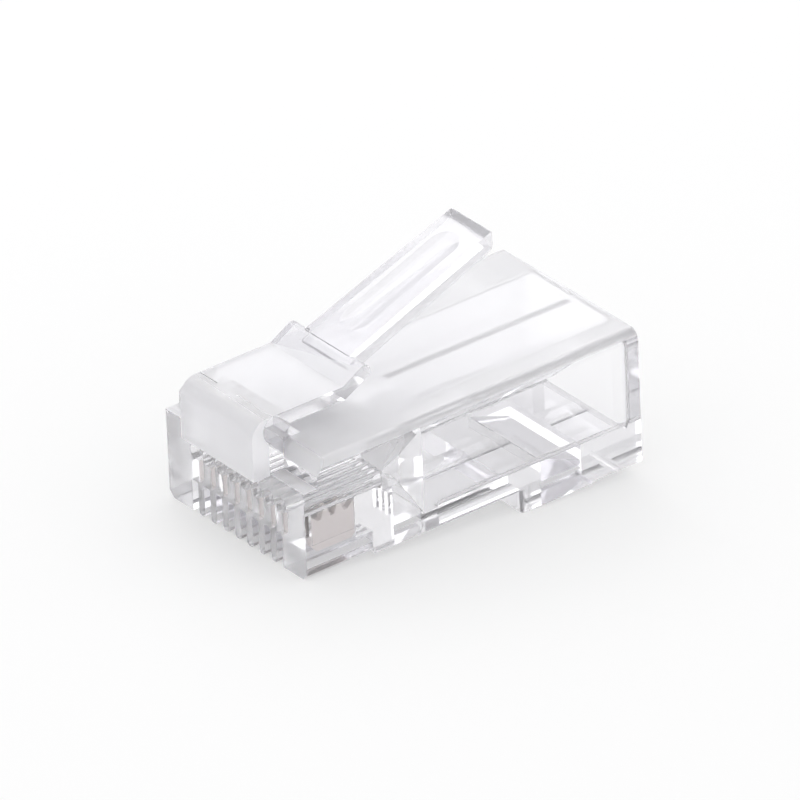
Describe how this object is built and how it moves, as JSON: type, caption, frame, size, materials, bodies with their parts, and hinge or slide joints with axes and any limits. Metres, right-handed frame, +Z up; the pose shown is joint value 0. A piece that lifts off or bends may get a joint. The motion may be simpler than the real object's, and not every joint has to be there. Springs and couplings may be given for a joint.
{
  "type": "rj45 modular plug",
  "caption": "Clear moulded modular plug for network cable: sprung locking tab, comb nose with blade contacts, wire channels, open cable entry and crimp bars.",
  "frame": {"origin": "on the rest face, below the middle of the whole plug", "axes": "+Z up out of the latch side, -Y towards the nose that enters the jack, +Y towards the cable, X across the plug"},
  "size_m": [0.0116, 0.0228, 0.0142],
  "materials": {
    "clear_body": "polished clear polycarbonate",
    "contact_plating": "gold plated phosphor bronze"
  },
  "bodies": {
    "body": {"housing": "clear_body"},
    "latch": {"latch": "clear_body"},
    "jacket_bar": {"jacket_bar": "clear_body"},
    "wire_bar": {"wire_bar": "clear_body"},
    "contact_1": {"contact_1": "contact_plating"},
    "contact_2": {"contact_2": "contact_plating"},
    "contact_3": {"contact_3": "contact_plating"},
    "contact_4": {"contact_4": "contact_plating"},
    "contact_5": {"contact_5": "contact_plating"},
    "contact_6": {"contact_6": "contact_plating"},
    "contact_7": {"contact_7": "contact_plating"},
    "contact_8": {"contact_8": "contact_plating"}
  },
  "joints": [
    {"name": "latch_press", "type": "hinge", "parent": "body", "child": "latch", "pos_m": [0, -0.00983, 0.009], "axis": [-1, 0, 0], "range_deg": [0, 14], "stiffness_Nm_per_rad": 0.3},
    {"name": "jacket_bar_swing", "type": "hinge", "parent": "body", "child": "jacket_bar", "pos_m": [0, 0.0083, 0.00052], "axis": [-1, 0, 0], "range_deg": [0, 32]},
    {"name": "wire_bar_swing", "type": "hinge", "parent": "body", "child": "wire_bar", "pos_m": [0, -0.00239, 0.00187], "axis": [-1, 0, 0], "range_deg": [0, 20]},
    {"name": "contact_1_press", "type": "slide", "parent": "body", "child": "contact_1", "axis": [0, 0, 1], "range_m": [-0.0006, 0]},
    {"name": "contact_2_press", "type": "slide", "parent": "body", "child": "contact_2", "axis": [0, 0, 1], "range_m": [-0.0006, 0]},
    {"name": "contact_3_press", "type": "slide", "parent": "body", "child": "contact_3", "axis": [0, 0, 1], "range_m": [-0.0006, 0]},
    {"name": "contact_4_press", "type": "slide", "parent": "body", "child": "contact_4", "axis": [0, 0, 1], "range_m": [-0.0006, 0]},
    {"name": "contact_5_press", "type": "slide", "parent": "body", "child": "contact_5", "axis": [0, 0, 1], "range_m": [-0.0006, 0]},
    {"name": "contact_6_press", "type": "slide", "parent": "body", "child": "contact_6", "axis": [0, 0, 1], "range_m": [-0.0006, 0]},
    {"name": "contact_7_press", "type": "slide", "parent": "body", "child": "contact_7", "axis": [0, 0, 1], "range_m": [-0.0006, 0]},
    {"name": "contact_8_press", "type": "slide", "parent": "body", "child": "contact_8", "axis": [0, 0, 1], "range_m": [-0.0006, 0]}
  ]
}
